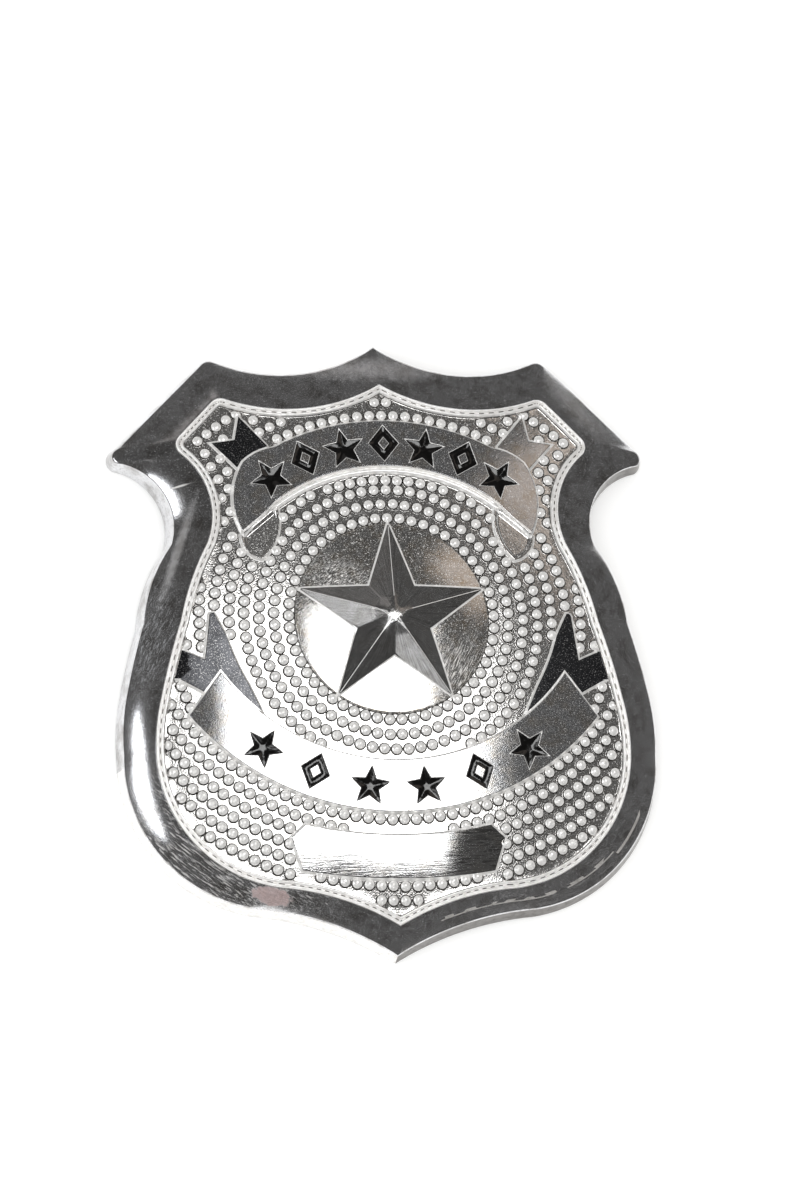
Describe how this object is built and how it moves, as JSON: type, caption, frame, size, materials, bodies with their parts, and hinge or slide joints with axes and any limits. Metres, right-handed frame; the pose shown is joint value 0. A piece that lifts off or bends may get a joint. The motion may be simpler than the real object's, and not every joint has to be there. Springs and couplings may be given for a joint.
{
  "type": "police shield badge",
  "caption": "Domed pressed-metal shield badge with a raised star, two ribbons with black motifs, a blank plate and a pin back.",
  "frame": {"origin": "middle of the badge's outline on the surface that it lies on", "axes": "+X to the right of the face, +Y to the badge's top peak, +Z out of the face"},
  "size_m": [0.0688, 0.0799, 0.011],
  "materials": {
    "plated_sheet": "bright nickel-like plating on pressed sheet, lightly scratched",
    "black_enamel": "gloss black paint laid into recesses",
    "pin_steel": "plain plated steel wire and strip"
  },
  "bodies": {
    "root": {"shield": "plated_sheet", "upper_enamel": "black_enamel", "lower_enamel": "black_enamel", "pin": "pin_steel"}
  },
  "joints": []
}
